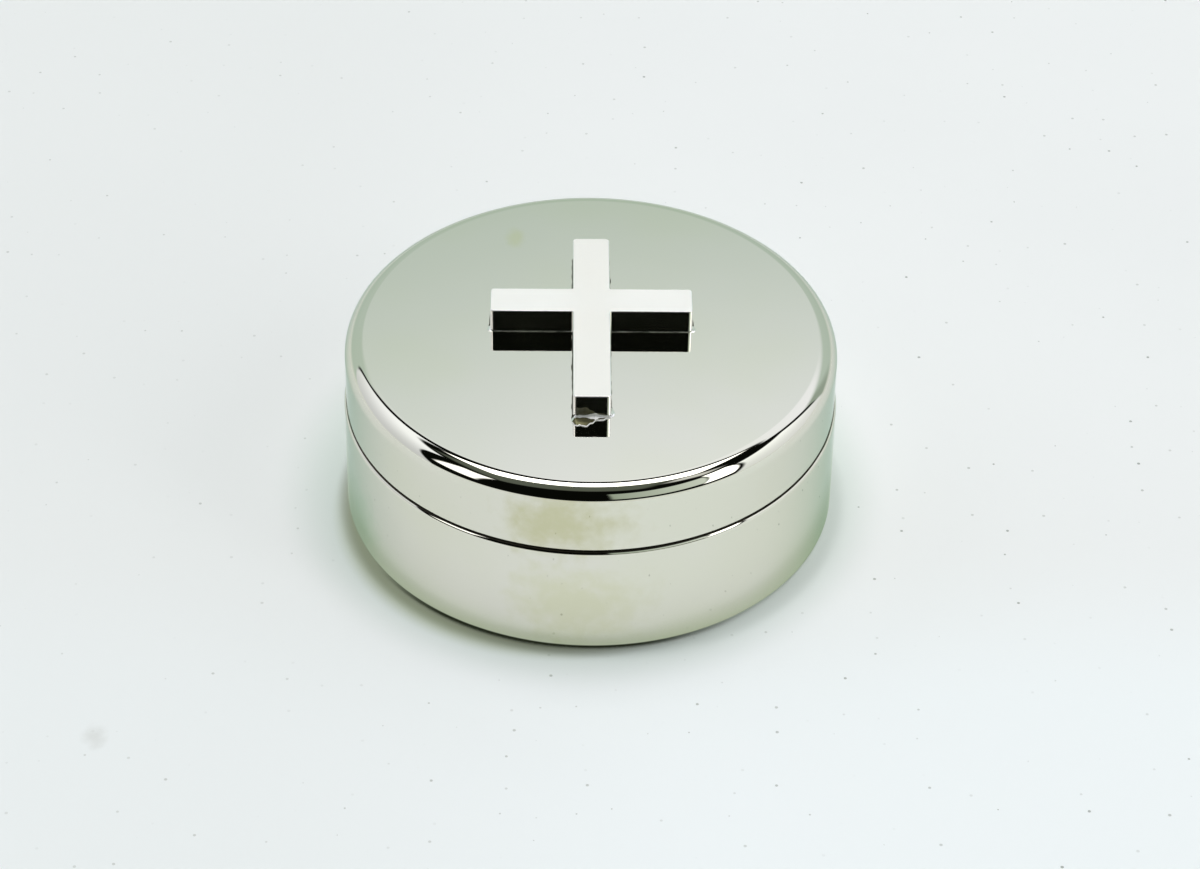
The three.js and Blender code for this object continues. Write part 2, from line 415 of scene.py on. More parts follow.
# %% [markdown]
# ## The base
#
# The base is an outer band of nickel-plated sheet, nearly sharp at the foot and rounded at the rim, closed by
# a disc let into it. It could be one drawn cup, but its foot would then be as round as the lid's edge. The
# outline needs only four corners. The rim's rounding is larger than the step to the lid, so that the seam
# shows as one dark line with a glint of light below it at each side. The plate ends halfway round that
# rounding, and from there in the sheet is bare and painted near black, as the shade in the seam's gap.

# %% Read sizes off the nodes
def radius_of(name):
    """Half the width of a node, in millimetres. It takes the larger of both ways, so facets don't matter."""
    low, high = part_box(name)
    return max(high.x - low.x, high.y - low.y) / 2 / MM


def heights_of(name):
    """Lowest and highest point of a node, in millimetres."""
    low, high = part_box(name)
    return low.z / MM, high.z / MM


SHARP = 0.04
FOOT_ROUNDING = 0.15
RIM_ROUNDING = 0.6
WALL = 1.0

base_radius = radius_of("base_wall")
foot, rim = heights_of("base_wall")
base_bore = base_radius - WALL
wall_outline = rounded_outline([
    (base_bore, foot, SHARP),
    (base_radius, foot, FOOT_ROUNDING),
    (base_radius, rim, RIM_ROUNDING),
    (base_bore, rim, SHARP),
])
vertices, directions, faces, strip = turned_mesh(wall_outline)
# From halfway round the rim inwards the sheet is near black: painted shade in the seam's gap.
BARE_FROM = 2.5 * ARC_POINTS
is_bare = strip >= BARE_FROM
base_wall = mesh_piece("polished_base_wall", vertices, directions, faces, [nickel, bare_edge_and_shade], is_bare)
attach(base_wall, "base")
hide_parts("base_wall")

# %% The floor: nickel below, gilt above
floor_radius = radius_of("base_floor")
under, floor_top = heights_of("base_floor")
floor_outline = rounded_outline(
    [(0, under, 0), (floor_radius, under, SHARP), (floor_radius, floor_top, SHARP), (0, floor_top, 0)],
    closed=False,
)
vertices, directions, faces, strip = turned_mesh(floor_outline, closed=False)
is_gilt = strip >= 2 * ARC_POINTS
base_floor = mesh_piece("base_floor_disc", vertices, directions, faces, [nickel, gilding], is_gilt)
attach(base_floor, "base")
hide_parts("base_floor")


# %% [markdown]
# ## The inner band
#
# Lid and base are flush outside, so something inside must hold the lid. It is a gilt band that stands on the
# floor and rises 4 mm above the rim, and the lid slips over it. Its top edges are rounded to lead the lid on.

# %% The inner band
BAND_WALL = 0.7
BAND_ROUNDING = 0.3

band_radius = radius_of("inner_band")
band_foot, band_top = heights_of("inner_band")
band_outline = rounded_outline([
    (band_radius - BAND_WALL, band_foot, SHARP),
    (band_radius, band_foot, SHARP),
    (band_radius, band_top, BAND_ROUNDING),
    (band_radius - BAND_WALL, band_top, BAND_ROUNDING),
])
vertices, directions, faces, strip = turned_mesh(band_outline)
inner_band = mesh_piece("gilt_inner_band", vertices, directions, faces, [gilding])
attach(inner_band, "collar")
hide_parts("inner_band")


# %% [markdown]
# ## The lid
#
# The lid is one drawn cap. Its edge is the most telling part of the photograph: in a rounding of 2.3 mm it
# mirrors the whole room, from the backdrop over the ceiling down to the table. The outline runs from the
# middle of the ceiling out, down the inside, round the rim, up the outside and back to the middle of the top.

# %% The lid shell: gilt inside, bare at the cut rim and painted near black there as seam shade, nickel outside
LID_TOP = 1.0
LID_EDGE = 2.3
LID_RIM_ROUNDING = 0.2
SLIP_GAP = 0.1

lid_radius = radius_of("lid_shell")
lid_rim, lid_top = heights_of("lid_shell")
lid_bore = band_radius + SLIP_GAP
lid_ceiling = lid_top - LID_TOP
LID_ARC_POINTS = 24
lid_outline = rounded_outline(
    [
        (0, lid_ceiling, 0),
        (lid_bore, lid_ceiling, LID_EDGE - LID_TOP),
        (lid_bore, lid_rim, LID_RIM_ROUNDING),
        (lid_radius, lid_rim, LID_RIM_ROUNDING),
        (lid_radius, lid_top, LID_EDGE),
        (0, lid_top, 0),
    ],
    closed=False,
    arc_points=LID_ARC_POINTS,
)
vertices, directions, faces, strip = turned_mesh(lid_outline, closed=False)
# The lid's cut rim is near black: painted shade in the seam's gap.
GILT_ENDS = LID_ARC_POINTS + 1
BARE_ENDS = 2.5 * LID_ARC_POINTS + 1
finish_of = np.where(strip < GILT_ENDS, 1, np.where(strip < BARE_ENDS, 2, 0))
lid_shell = mesh_piece("polished_lid_shell", vertices, directions, faces, [nickel, gilding, bare_edge_and_shade],
                       finish_of)
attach(lid_shell, "lid")
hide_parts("lid_shell")


# %% [markdown]
# ## The cross
#
# The cross is a solid bar cross with every edge softened. A Bevel modifier on a plain cross would do it, but
# the exact directions would be lost. Instead a quarter circle is carried along the plan outline, below and
# above a straight side. The top is satin and the flat sides are polished to a mirror. The softened edges lie
# between the two in gloss, catch the light overhead and draw the white border round each dark side.

# %% Carry rounded edges along a plan outline
def edged_plate(plan, edge, low, high, arc_points=ARC_POINTS):
    """Vertices, directions and faces of a plate with rounded edges, and each face's kind: 0 for the top
    and the underside, 1 for a rounding, 2 for a flat side.

    plan is the outline of its flat faces. A point of it moves out by edge * cos(a), and up or down by
    edge * sin(a) from the straight side, as a goes from -90 to 0 below and 0 to 90 above.
    """
    points, out = plan
    quarter = np.linspace(-np.pi / 2, 0, arc_points)
    angle = np.concatenate([quarter, quarter + np.pi / 2])
    height = np.where(np.arange(2 * arc_points) < arc_points, low + edge, high - edge)
    height = height + edge * np.sin(angle)
    reach = edge * np.cos(angle)
    plan_part = points[None] + out[None] * reach[:, None, None]
    height_part = np.broadcast_to(height[:, None, None], (*plan_part.shape[:2], 1))
    vertices = np.concatenate([plan_part, height_part], 2).reshape(-1, 3)
    out_part = out[None] * np.cos(angle)[:, None, None]
    up_part = np.broadcast_to(np.sin(angle)[:, None, None], height_part.shape)
    directions = np.concatenate([out_part, up_part], 2).reshape(-1, 3)
    count = len(points)
    index = np.arange(2 * arc_points * count).reshape(-1, count)
    low_row, high_row = index[:-1], index[1:]
    sides = np.stack([low_row, np.roll(low_row, -1, 1), np.roll(high_row, -1, 1), high_row], -1)
    row, column = np.indices(low_row.shape)
    is_side = (row == arc_points - 1) & (column % arc_points == arc_points - 1)
    faces = sides.reshape(-1, 4).tolist() + [index[0][::-1].tolist(), index[-1].tolist()]
    return vertices, directions, faces, np.append(np.where(is_side, 2, 1).ravel(), [0, 0])


# %% The cross, from its node's box and the width of its bars
CROSS_BAR = 4.5
CROSS_SPAN_ABOVE = 12.5
CROSS_EDGE = 0.1
CROSS_FACE_CORNER = 0.38
CROSS_INNER_CORNER = 0.15

cross_low, cross_high = (np.array(corner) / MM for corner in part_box("cross"))
middle = cross_high[1] - CROSS_SPAN_ABOVE


def cross_plan(inset, outer_corner, inner_corner):
    """The plan outline of the cross, drawn in by inset on every side."""
    bar = CROSS_BAR / 2 - inset
    side = cross_high[0] - inset
    head = cross_high[1] - inset
    toe = cross_low[1] + inset
    return rounded_outline([
        (bar, toe, outer_corner),
        (bar, middle - bar, inner_corner),
        (side, middle - bar, outer_corner),
        (side, middle + bar, outer_corner),
        (bar, middle + bar, inner_corner),
        (bar, head, outer_corner),
        (-bar, head, outer_corner),
        (-bar, middle + bar, inner_corner),
        (-side, middle + bar, outer_corner),
        (-side, middle - bar, outer_corner),
        (-bar, middle - bar, inner_corner),
        (-bar, toe, outer_corner),
    ])


face_plan = cross_plan(CROSS_EDGE, CROSS_FACE_CORNER, CROSS_INNER_CORNER + CROSS_EDGE)
vertices, directions, faces, kind = edged_plate(face_plan, CROSS_EDGE, cross_low[2], cross_high[2])
cross = mesh_piece("bar_cross", vertices, directions, faces, [cross_satin, cross_edge, cross_bright], kind)
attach(cross, "lid")
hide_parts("cross")


# %% [markdown]
# ## The solder round the cross
#
# Where the cross meets the lid the photograph shows a thin uneven line, bright in front and dark at the
# sides, with a small lump at the end of each arm and beside the foot. It is solder that ran out of the joint.
# Before the foot it ran further: a frosted slope against the face of the cross, and beyond it a thin olive
# film with a paler edge. It could be a bump on the lid, but it has a real edge, so it is one closed ring
# whose section is a fillet, and whose height and width wander along the outline.

# %% Even steps along an outline, and curves that wander
def evenly_spaced(outline, spacing):
    """Points and directions at even distances along a closed outline, and each one's share of the way."""
    points, out = outline
    loop = np.vstack([points, points[:1]])
    loop_out = np.vstack([out, out[:1]])
    along = np.append(0, np.cumsum(np.hypot(*np.diff(loop, axis=0).T)))
    count = int(along[-1] / spacing)
    at = np.linspace(0, along[-1], count, endpoint=False)
    place = np.stack([np.interp(at, along, loop[:, k]) for k in (0, 1)], 1)
    turned = np.stack([np.interp(at, along, loop_out[:, k]) for k in (0, 1)], 1)
    return place, turned / np.linalg.norm(turned, axis=1, keepdims=True), at / along[-1]


def wandering(share, waves, seed):
    """A smooth closed curve of numbers from about -1 to 1: a sum of sines of whole wave counts round the
    loop, each with its own phase."""
    phase = np.random.default_rng(seed).uniform(0, 2 * np.pi, len(waves))
    angle = 2 * np.pi * share[:, None] * np.array(waves) + phase
    return np.sin(angle).sum(1) / np.sqrt(len(waves))


def lump(place, centre, reach):
    """A hump of height 1 at centre that fades over reach: exp(-(distance / reach) squared)."""
    distance = np.hypot(place[:, 0] - centre[0], place[:, 1] - centre[1])
    return np.exp(-(distance / reach) ** 2)


# %% The plain line along the outline, and its lumps
FILLET_SPACING = 0.12
LINE_WIDTH_FRONT = 0.06
LINE_WIDTH_SIDE = 0.19
LINE_HEIGHT = 0.06
LINE_WANDER = 0.03
SQUARE_ON = 0.7
LUMP_FROM = 0.2

side_plan = cross_plan(0, CROSS_EDGE + CROSS_FACE_CORNER, CROSS_INNER_CORNER)
place, out, share = evenly_spaced(side_plan, FILLET_SPACING)
toe = cross_low[1]
arm_front = middle - CROSS_BAR / 2
FRONT, LEFT, RIGHT = (0, -1), (-1, 0), (1, 0)
faces_front = out @ FRONT > SQUARE_ON
width = np.where(faces_front, LINE_WIDTH_FRONT, LINE_WIDTH_SIDE)
width = width + LINE_WANDER * wandering(share, [17, 31, 53], 3)
height = LINE_HEIGHT + LINE_WANDER * wandering(share, [13, 29, 61], 5)
# centre, reach along the outline, the side it is on, extra width, extra height
LUMPS = [
    ((CROSS_BAR / 2, toe + 0.7), 0.7, RIGHT, 0.26, 0.26),
    ((-cross_high[0], arm_front + 0.2), 0.7, LEFT, 0.20, 0.16),
    ((cross_high[0], arm_front + 0.3), 0.6, RIGHT, 0.30, 0.20),
]
is_lump = np.zeros(len(width), bool)
for centre, reach, side, wider, higher in LUMPS:
    hump = lump(place, centre, reach) * np.clip(out @ side, 0, 1)
    width = width + wider * hump
    height = height + higher * hump
    is_lump = is_lump | (hump > LUMP_FROM)

# %% Before the foot, from left to right: how far the film runs out over the lid, and how far the slope does
FOOT_X = [-CROSS_BAR / 2, -1.6, -0.8, -0.2, 0.4, 1.0, 1.6, CROSS_BAR / 2]
FILM_RUN = [1.3, 1.7, 1.9, 1.4, 0.85, 0.65, 0.5, 0.45]
SLOPE_RUN = [0.2, 0.2, 0.22, 0.38, 0.6, 0.32, 0.18, 0.16]
FILM_THICKNESS = 0.13
FILM_WANDER = 0.12
SLOPE_RISE = 0.4
SLOPE_WANDER = 0.05
THINNEST = 0.03
LINE_THIN_SHARE = 0.12
LINE_SLOPE_SHARE = 0.6

at_foot = np.clip(out @ FRONT, 0, 1) ** 4 * (place[:, 1] < toe + 1)
ragged = at_foot * wandering(share, [71, 113, 167], 7)
film_run = np.interp(place[:, 0], FOOT_X, FILM_RUN) + FILM_WANDER * ragged
slope_run = np.interp(place[:, 0], FOOT_X, SLOPE_RUN) + SLOPE_WANDER * np.roll(ragged, 3)
width = np.maximum(width, THINNEST) * (1 - at_foot) + film_run * at_foot
thin = LINE_THIN_SHARE * height * (1 - at_foot) + FILM_THICKNESS * at_foot
slope = LINE_SLOPE_SHARE * width * (1 - at_foot) + slope_run * at_foot
height = np.maximum(height, THINNEST) + (FILM_THICKNESS + SLOPE_RISE * slope_run) * at_foot

# %% The section, from the face of the cross outwards: the slope, the film, and the film's edge
FILLET_OVERLAP = 0.22
SUNK = 0.01
FILM_EDGE = 0.14

SLOPE_BEND = 0.35
BEND_HEIGHT_AT_FOOT = 0.65
BEND_HEIGHT_ELSEWHERE = 0.4

is_before_foot = at_foot > 0.5
edge = np.minimum(FILM_EDGE, (width - slope) / 2)
nothing = np.zeros(len(width))
bend_height = np.where(is_before_foot, BEND_HEIGHT_AT_FOOT, BEND_HEIGHT_ELSEWHERE)
bend = thin + bend_height * (height - thin)
section_out = np.stack([nothing, SLOPE_BEND * slope, slope, width - edge, width - edge / 2, width], 1)
section_up = np.stack([height, bend, thin, thin, thin / 2, nothing], 1)
inside = np.full((len(width), 1), -FILLET_OVERLAP)
reach_out = np.hstack([inside, section_out, inside])
reach_up = np.hstack([height[:, None], section_up, nothing[:, None]])
ring_xy = place[:, None] + out[:, None] * reach_out[..., None]
ring_z = cross_low[2] - SUNK + reach_up[..., None]
vertices = np.concatenate([ring_xy, ring_z], 2)
count, around = vertices.shape[:2]
index = np.arange(count * around).reshape(count, around)
following = np.roll(index, -1, 0)
faces = np.stack([index, np.roll(index, -1, 1), np.roll(following, -1, 1), following], -1).reshape(-1, 4)

# %% The solder's finishes. Strips 1 and 2 of the section lead down the slope, and 3 is the flat of the film
FILM_STRIP = 3
SOLDER_FINISHES = [solder, bare_edge_and_shade, frosted_solder, dull_film]
BRIGHT, DARK, FROSTED, FILMED = range(len(SOLDER_FINISHES))

# Along the sides of the cross the line is near black: painted shade.
finish_of_line = np.where(faces_front | is_lump, BRIGHT, DARK)
finish_of_strip = np.where(np.arange(around) == FILM_STRIP, FILMED, FROSTED)
finish_of = np.where(is_before_foot[:, None], finish_of_strip, finish_of_line[:, None])
solder_fillet = mesh_piece("solder_fillet", vertices.reshape(-1, 3), None, faces.tolist(), SOLDER_FINISHES,
                           finish_of.ravel())
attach(solder_fillet, "lid")
print("solder stands up to", round(float(height.max()), 2), "mm high")


# %% [markdown]
# ## The rivets
#
# Two pins hold the cross. Inside the lid their ends are peened over to low domes, which show only when the
# lid is off. The outline is a dome, a flat seat under the ceiling and a shank that runs up into the cross.

# %% Two rivets
RIVET_HEAD = 0.6
RIVET_SHANK = 0.75
DOME_SHARE = 0.62
DOME_SAG = 0.06
DOME_ROUNDING = 0.9

for name in ("cross_rivet_upper", "cross_rivet_lower"):
    low, high = (np.array(corner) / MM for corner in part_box(name))
    head_radius = (high[0] - low[0]) / 2
    seat = low[2] + RIVET_HEAD
    rivet_outline = rounded_outline(
        [
            (0, low[2], 0),
            (head_radius * DOME_SHARE, low[2] + DOME_SAG, DOME_ROUNDING),
            (head_radius, seat, SHARP),
            (RIVET_SHANK, seat, SHARP),
            (RIVET_SHANK, high[2], SHARP),
            (0, high[2], 0),
        ],
        closed=False,
        arc_points=6,
    )
    vertices, directions, faces, strip = turned_mesh(rivet_outline, closed=False, steps=48)
    vertices = vertices + np.array([(low[0] + high[0]) / 2, (low[1] + high[1]) / 2, 0])
    rivet = mesh_piece(f"peened_{name}", vertices, directions, faces, [peened])
    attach(rivet, "lid")
    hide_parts(name)


# %% [markdown]
# ## The table
#
# The box stands on a pale, faintly cool table, with specks of dust and one old mark on it. The table mixes a
# plain diffuse surface, which takes the shadow, with a little glow of its own colour that only the camera and
# the mirrors see.
#
# A polished wall throws light back on the table, and its tint with it: the shadow beside the box is greenish,
# olive at the left, and ends in a dark crevice at the foot. Tracing that light is slow and noisy, so it is
# painted: three masks round the box that only the camera sees. The mirrors see plain table there, with
# painted shade that makes it darker and greener close to the foot, as the wall's own picture of it shows.

# %% The table, its dust and its mark, and the light and shade painted on it
TABLE_HALF_WIDTH = 4.0
TABLE_COLOUR = (0.866, 0.89, 0.895)
TABLE_MOTTLE = (0.851, 0.875, 0.88)
DIM_TO = -45.0
BRIGHT_FROM = 20.0
COOL_TO = -40.0
WARM_FROM = -10.0
LEFT_SHARE = 0.5
LEFT_SHADE_COLOUR = (0.78, 0.805, 0.80)
FRONT_LIGHT_COLOUR = (0.885, 0.932, 0.95)
TABLE_MARK = (-56.8, -45.6, 0.0)
TABLE_MARK_REACH = (2.2, 2.8, 1.0)
MARK_COLOUR = (0.66, 0.69, 0.68)
DUST_COLOUR = (0.36, 0.39, 0.37)
SPECK_CELLS = 230.0
CELLS_WITHOUT_SPECK = 0.15
LARGEST_SPECK = 0.045

table_mesh = bpy.data.meshes.new("table")
corners = np.array([(-1, -1, 0), (1, -1, 0), (1, 1, 0), (-1, 1, 0)]) * TABLE_HALF_WIDTH
table_mesh.from_pydata(corners, [], [(0, 1, 2, 3)])
table = bpy.data.objects.new("table", table_mesh)
bpy.context.scene.collection.objects.link(table)
table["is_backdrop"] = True

table_paper = bpy.data.materials.new("pale table")
table_paper.use_nodes = True
tree = table_paper.node_tree
tree.nodes.clear()
place = node(tree, "ShaderNodeTexCoord").outputs["Object"]
specks = node(tree, "ShaderNodeTexVoronoi", {"Vector": place, "Scale": SPECK_CELLS},
              voronoi_dimensions="2D")
chosen = node(tree, "ShaderNodeSeparateColor", {0: specks.outputs["Color"]})
speck_size = smooth_range(tree, chosen.outputs[0], CELLS_WITHOUT_SPECK, 1.0, 0.0, LARGEST_SPECK)
speck = math_node(tree, "LESS_THAN", specks.outputs["Distance"], speck_size)
speck = math_node(tree, "MULTIPLY", speck, math_node(tree, "POWER", chosen.outputs[1], 2.0))
mottle = node(tree, "ShaderNodeTexNoise", {"Vector": place, "Scale": 14.0, "Detail": 6.0})
shade = blend_colour(tree, smooth_range(tree, mottle.outputs[0], 0.35, 0.65), TABLE_COLOUR, TABLE_MOTTLE)
across, along, _ = node(tree, "ShaderNodeSeparateXYZ", {0: place}).outputs
# Painted light: the table is lighter and cooler in front of the box.
lit_in_front = smooth_range(tree, along, COOL_TO * MM, WARM_FROM * MM, 1.0, 0.0)
shade = blend_colour(tree, lit_in_front, shade, FRONT_LIGHT_COLOUR)
shade = blend_colour(tree, speck, shade, DUST_COLOUR)
shade = blend_colour(tree, patch_at(tree, TABLE_MARK, TABLE_MARK_REACH), shade, MARK_COLOUR)
# Painted shade: the table is darker towards the left.
shaded_at_left = smooth_range(tree, across, DIM_TO * MM, BRIGHT_FROM * MM, LEFT_SHARE, 0.0)
shade = blend_colour(tree, shaded_at_left, shade, LEFT_SHADE_COLOUR)

# %% The painted shadows and the painted shade of the crevice, for the camera alone
CREVICE_COLOUR = (0.05, 0.06, 0.035)
CREVICE_REACH = 1.4
SHADOW_CAST = (0.355, 0.41, 0.26)
SHADOW_CENTRE = (-3.86, -4.6, 0)
SHADOW_RADIUS = 26.6
SHADOW_BLUR = 1.6
SOFT_CAST = (0.55, 0.66, 0.60)
SOFT_CAST_CENTRE = (-1.0, 0.5, 0)
SOFT_CAST_FROM = 30.0
SOFT_CAST_TO = 39.0
SOFT_CAST_SHARE = 0.6
CREVICE_DARK_AT = 0.62
CREVICE_CLEAR_AT = 0.78

path = node(tree, "ShaderNodeLightPath")
for_the_eye = path.outputs["Is Camera Ray"]


def round_cast(centre, low, high, share):
    """A painted shadow on the table: a disc in millimetres, share inside low, fading to 0 at high, for the
    camera alone.
    """
    away = node(tree, "ShaderNodeVectorMath", {0: place, 1: Vector(centre) * MM}, operation="DISTANCE")
    inside = smooth_range(tree, away.outputs["Value"], low * MM, high * MM, share, 0.0)
    return math_node(tree, "MULTIPLY", inside, for_the_eye)


soft_cast = round_cast(SOFT_CAST_CENTRE, SOFT_CAST_FROM, SOFT_CAST_TO, SOFT_CAST_SHARE)
shade = blend_colour(tree, soft_cast, shade, SOFT_CAST)
in_shadow = round_cast(SHADOW_CENTRE, SHADOW_RADIUS - SHADOW_BLUR, SHADOW_RADIUS + SHADOW_BLUR, 1.0)
shade = blend_colour(tree, in_shadow, shade, SHADOW_CAST)
# Painted shade in the crevice at the foot, kept to the front of the box by the foot shade patch.
crevice = node(tree, "ShaderNodeAmbientOcclusion", {"Distance": CREVICE_REACH * MM}, samples=8)
closeness = smooth_range(tree, crevice.outputs["AO"], CREVICE_DARK_AT, CREVICE_CLEAR_AT, 1.0, 0.0)
closeness = math_node(tree, "MULTIPLY", closeness, patch_at(tree, *FOOT_SHADE_LINE[0][:3]))
closeness = math_node(tree, "MULTIPLY", closeness, for_the_eye)
shade = blend_colour(tree, closeness, shade, CREVICE_COLOUR)

# %% The diffuse table, mixed with the glow that camera and mirrors see
TABLE_GLOW_COLOUR = (0.80, 0.83, 0.81)
TABLE_GLOW = 0.08
MIRRORED_GLOW = 0.36
MIRRORED_FOOT_SHADE = (0.54, 0.63, 0.48)
MIRRORED_FOOT_GLOW = 0.75
MIRRORED_FOOT_REACH = 6.5

diffuse = node(tree, "ShaderNodeBsdfDiffuse", {"Color": shade})
# Painted shade for the mirrors: close to the foot the table they see is darker and greener.
near_foot = node(tree, "ShaderNodeAmbientOcclusion", {"Distance": MIRRORED_FOOT_REACH * MM}, samples=8)
near = smooth_range(tree, near_foot.outputs["AO"], 0.5, 0.95, 1.0, 0.0)
near = math_node(tree, "MULTIPLY", near, path.outputs["Is Glossy Ray"])
glow_colour = blend_colour(tree, near, TABLE_GLOW_COLOUR, MIRRORED_FOOT_SHADE)
glow_colour = blend_colour(tree, closeness, glow_colour, CREVICE_COLOUR)
glow = node(tree, "ShaderNodeEmission", {"Color": glow_colour, "Strength": 1.0})
mirrored = math_node(tree, "MULTIPLY", path.outputs["Is Glossy Ray"], MIRRORED_GLOW)
mirrored = math_node(tree, "MULTIPLY_ADD", near, MIRRORED_FOOT_GLOW - MIRRORED_GLOW, mirrored)
seen = math_node(tree, "MAXIMUM", for_the_eye, path.outputs["Is Transmission Ray"])
share = math_node(tree, "MULTIPLY_ADD", seen, TABLE_GLOW, mirrored)
mixed = node(tree, "ShaderNodeMixShader", {0: share, 1: diffuse.outputs[0], 2: glow.outputs[0]})
node(tree, "ShaderNodeOutputMaterial", {"Surface": mixed.outputs[0]})
table_mesh.materials.append(table_paper)
print("table mirrors as", MIRRORED_GLOW, "glow, and", MIRRORED_FOOT_GLOW, "close to the foot")


# %% [markdown]
# ## The room that the box mirrors
#
# A box photographed for sale stands in a tent of white cards with a gap for the lens. Its polish shows
# every card: white panels left and right, a grey-green backdrop behind, a white light overhead, and the dark
# gap in front, which turns the front faces of the cross and a band of the lid's edge black. The cards could
# be lit planes. Painting them on the world by direction is lighter to render and can't block a view.

# %% One card, as a mask over the directions of the sky
def card_group():
    """A mask that is 1 between two side edges and two heights, in degrees, with soft edges.

    A side edge leans: its azimuth is the given one plus lean times the elevation. Across runs from 0 at the
    left edge to 1 at the right one.
    """
    names = ["Azimuth", "Elevation", "Left", "Left Lean", "Right", "Right Lean", "Bottom", "Top", "Softness"]
    tree, given, result = new_group("card", dict.fromkeys(names, 0.0), ["Mask", "Across"])
    g = given.outputs
    left = math_node(tree, "MULTIPLY_ADD", g["Left Lean"], g["Elevation"], g["Left"])
    right = math_node(tree, "MULTIPLY_ADD", g["Right Lean"], g["Elevation"], g["Right"])

    def past(value, edge):
        """0 before the edge and 1 past it, over twice the softness."""
        low = math_node(tree, "SUBTRACT", edge, g["Softness"])
        high = math_node(tree, "ADD", edge, g["Softness"])
        return smooth_range(tree, value, low, high)

    wide = math_node(tree, "SUBTRACT", past(g["Azimuth"], left), past(g["Azimuth"], right), clamp=True)
    tall = math_node(tree, "SUBTRACT", past(g["Elevation"], g["Bottom"]), past(g["Elevation"], g["Top"]),
                     clamp=True)
    feed(tree, result.inputs["Mask"], math_node(tree, "MULTIPLY", wide, tall))
    across = node(tree, "ShaderNodeMapRange", {"Value": g["Azimuth"], "From Min": left, "From Max": right})
    feed(tree, result.inputs["Across"], across.outputs[0])
    return tree


CARD = card_group()

# %% Directions, as angles and as places on the ceiling
world = bpy.data.worlds.new("studio")
bpy.context.scene.world = world
world.use_nodes = True
tree = world.node_tree
tree.nodes.clear()
sky = node(tree, "ShaderNodeTexCoord").outputs["Generated"]
x, y, z = node(tree, "ShaderNodeSeparateXYZ", {0: sky}).outputs
DEGREES = 180 / np.pi
azimuth = math_node(tree, "MULTIPLY", math_node(tree, "ARCTAN2", x, y), DEGREES)
elevation = math_node(tree, "MULTIPLY", math_node(tree, "ARCSINE", z), DEGREES)
ceiling_height = math_node(tree, "MAXIMUM", z, 0.1)
ceiling_x = math_node(tree, "DIVIDE", x, ceiling_height)
ceiling_y = math_node(tree, "DIVIDE", y, ceiling_height)


def painted(room, mask, colour):
    """The room with a colour laid over it where the mask is 1."""
    return blend_colour(tree, mask, room, colour)


# %% The backdrop: grey-green below, brighter above, and dim in its far right corner
ROOM_DARK = (0.003, 0.0035, 0.0025)
BACKDROP = (0.54, 0.64, 0.58)
BACKDROP_LEFT_TOP = (0.83, 0.88, 0.88)
BACKDROP_RIGHT_TOP = (1.03, 1.05, 1.12)
BACKDROP_CORNER = (0.35, 0.42, 0.36)
BACKDROP_EDGES = {"Left": -72.7, "Left Lean": 1.11, "Right": 68, "Right Lean": -0.3,
                  "Bottom": -5, "Top": 48.8, "Softness": 1.2}
TOP_SLOPE = 0.27
TOP_SLOPE_ENDS = 20.0
LIT_FROM, LIT_AT = 33.5, 42.5
LIT_LEAN_RIGHT, LIT_LEAN_LEFT = 0.05, 0.18
TOP_LEFT_OF, TOP_RIGHT_OF = -14, 6
CORNER_FROM, CORNER_AT = 43, 56


def card_mask(azimuth, elevation, edges):
    """The card group with its edges set. Its outputs are Mask and Across."""
    card = node(tree, "ShaderNodeGroup", node_tree=CARD)
    feed(tree, card.inputs["Azimuth"], azimuth)
    feed(tree, card.inputs["Elevation"], elevation)
    for key, value in edges.items():
        card.inputs[key].default_value = value
    return card


to_right = math_node(tree, "MAXIMUM", azimuth, 0.0)
to_left = math_node(tree, "MINIMUM", azimuth, 0.0)
leaning = math_node(tree, "MULTIPLY_ADD", to_right, LIT_LEAN_RIGHT, elevation)
leaning = math_node(tree, "MULTIPLY_ADD", to_left, LIT_LEAN_LEFT, leaning)
top_side = smooth_range(tree, azimuth, TOP_LEFT_OF, TOP_RIGHT_OF)
top_colour = blend_colour(tree, top_side, BACKDROP_LEFT_TOP, BACKDROP_RIGHT_TOP)
in_corner = smooth_range(tree, azimuth, CORNER_FROM, CORNER_AT)
cloth = blend_colour(tree, in_corner, BACKDROP, BACKDROP_CORNER)
cloth = blend_colour(tree, smooth_range(tree, leaning, LIT_FROM, LIT_AT), cloth, top_colour)
slope_ends = math_node(tree, "MINIMUM", azimuth, TOP_SLOPE_ENDS)
sloped = math_node(tree, "MULTIPLY_ADD", slope_ends, -TOP_SLOPE, elevation)
all_round = {"Left": -180, "Left Lean": 0, "Right": 180, "Right Lean": 0}
backdrop_mask = card_mask(azimuth, sloped, {**BACKDROP_EDGES, **all_round}).outputs["Mask"]
backdrop_sides = card_mask(azimuth, elevation, {**BACKDROP_EDGES, "Top": 90}).outputs["Mask"]
room = painted(ROOM_DARK, math_node(tree, "MULTIPLY", backdrop_mask, backdrop_sides), cloth)

# %% The cards at the sides, each brighter towards its top
# left, lean, right, lean, bottom, top, softness, colour at its left, colour at its right, extra at the top
CARDS = {
    "left panel": (-112, 0.5, -62.6, 0.715, 0, 55, 1.2, (0.68, 0.70, 0.74), (0.72, 0.74, 0.78), 0.66),
    "right panel": (60.5, 0.1, 119, -0.4, -2, 45, 1.5, (0.87, 0.89, 0.92), (0.85, 0.87, 0.90), 0.60),
    "left lamp": (-131, 0.1, -110, 0.1, 24, 53, 2.0, (1.8, 1.8, 1.8), (1.8, 1.8, 1.8), 0.0),
    "right lamp": (124, -0.45, 137, -0.39, 15, 52, 1.5, (3.2, 3.2, 3.2), (3.2, 3.2, 3.2), 0.0),
    "grey panel": (136.5, -0.33, 171, 0, 18, 48, 1.5, (0.72, 0.78, 0.73), (0.36, 0.42, 0.35), 0.0),
}
